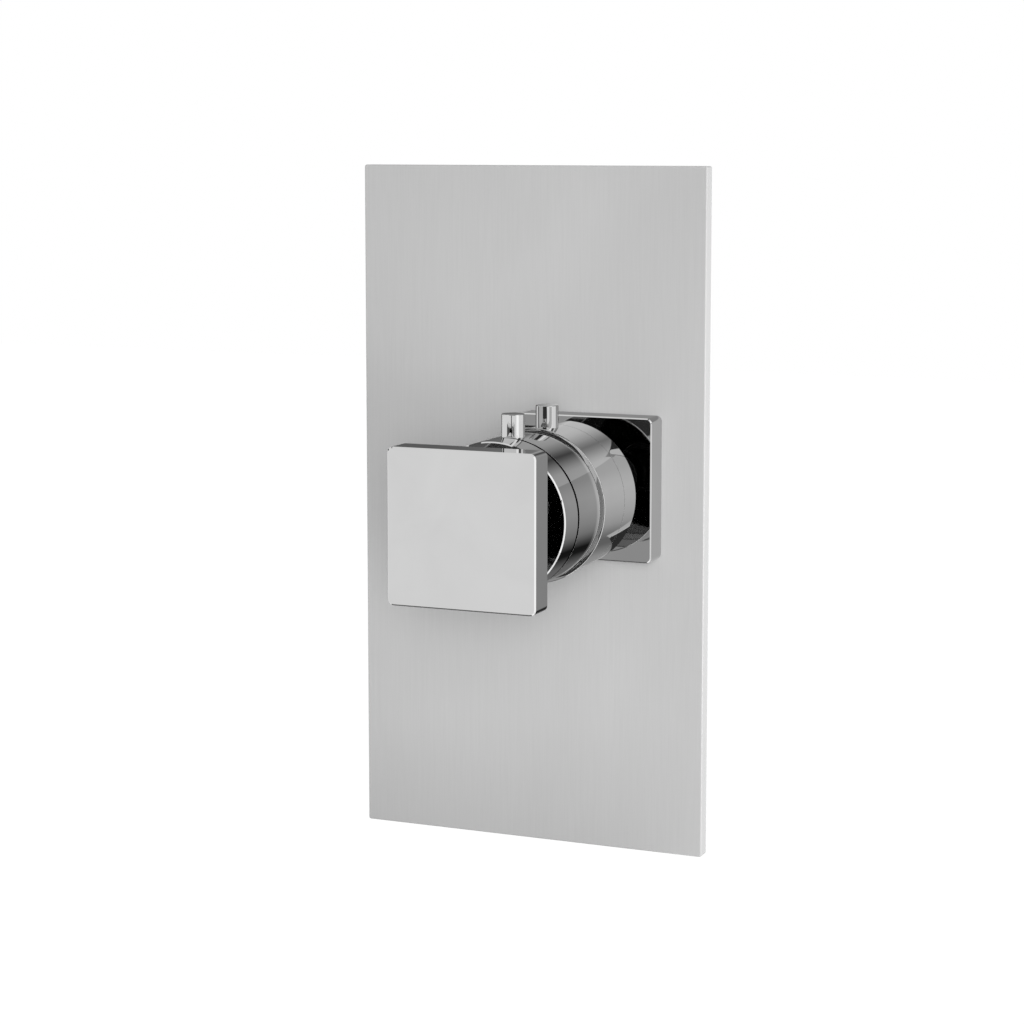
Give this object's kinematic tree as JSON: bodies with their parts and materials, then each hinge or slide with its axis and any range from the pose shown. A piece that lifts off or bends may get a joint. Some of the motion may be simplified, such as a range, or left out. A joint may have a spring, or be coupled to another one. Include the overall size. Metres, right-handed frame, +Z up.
{
  "type": "shower trim set",
  "caption": "Trim of a concealed shower valve: tall off-centre wall plate, square rosette, stacked round diverter and flow rings with lever pins, and a square temperature knob on a stem.",
  "frame": {"origin": "on the control axis, at the finished wall plane that the plate's rim rests on", "axes": "+Y runs along the control axis into the wall, so the knob points to -Y; +Z is up; +X is to the right for someone who looks at the controls"},
  "size_m": [0.129, 0.1616, 0.24],
  "materials": {
    "satin_steel": "satin, no mirror image",
    "chrome": "polished",
    "brass": "turned, unplated",
    "fastener_steel": "plain stainless steel",
    "bearing_plastic": "black acetal",
    "rubber": "matt EPDM",
    "foam": "closed-cell foam"
  },
  "bodies": {
    "mounting": {"wall_plate": "satin_steel", "plate_gasket": "foam", "valve_seal": "foam", "rosette_base": "brass", "base_gasket": "rubber", "base_screws": "fastener_steel", "rosette": "chrome", "rosette_grub_screw": "fastener_steel", "guide_bush": "bearing_plastic", "neck_oring": "rubber"},
    "diverter": {"diverter_tube": "chrome", "diverter_ring": "chrome", "diverter_end_cap": "chrome", "diverter_pin": "chrome", "diverter_grub_screw": "fastener_steel", "diverter_circlip": "fastener_steel", "flow_bush_front": "bearing_plastic", "flow_bush_rear": "bearing_plastic", "ring_glide_washer": "bearing_plastic"},
    "flow": {"flow_tube": "brass", "flow_ring": "chrome", "flow_pin": "chrome", "flow_grub_screw": "fastener_steel", "flow_circlip": "fastener_steel", "flow_oring": "rubber", "spindle_bush_front": "bearing_plastic", "spindle_bush_rear": "bearing_plastic"},
    "temperature": {"temperature_spindle": "fastener_steel", "temperature_collar": "chrome", "collar_nut": "brass", "knob_stem": "chrome", "knob_head": "chrome", "stem_grub_screw": "fastener_steel", "spindle_circlip": "fastener_steel", "spindle_oring": "rubber", "thrust_washer": "bearing_plastic"}
  },
  "joints": [
    {"name": "diverter_turn", "type": "hinge", "parent": "mounting", "child": "diverter", "pos_m": [0, 0, 0], "axis": [0, -1, 0], "range_deg": [-60, 60]},
    {"name": "flow_turn", "type": "hinge", "parent": "mounting", "child": "flow", "pos_m": [0, 0, 0], "axis": [0, -1, 0], "range_deg": [0, 90]},
    {"name": "temperature_turn", "type": "hinge", "parent": "mounting", "child": "temperature", "pos_m": [0, 0, 0], "axis": [0, -1, 0], "range_deg": [-150, 60]}
  ]
}
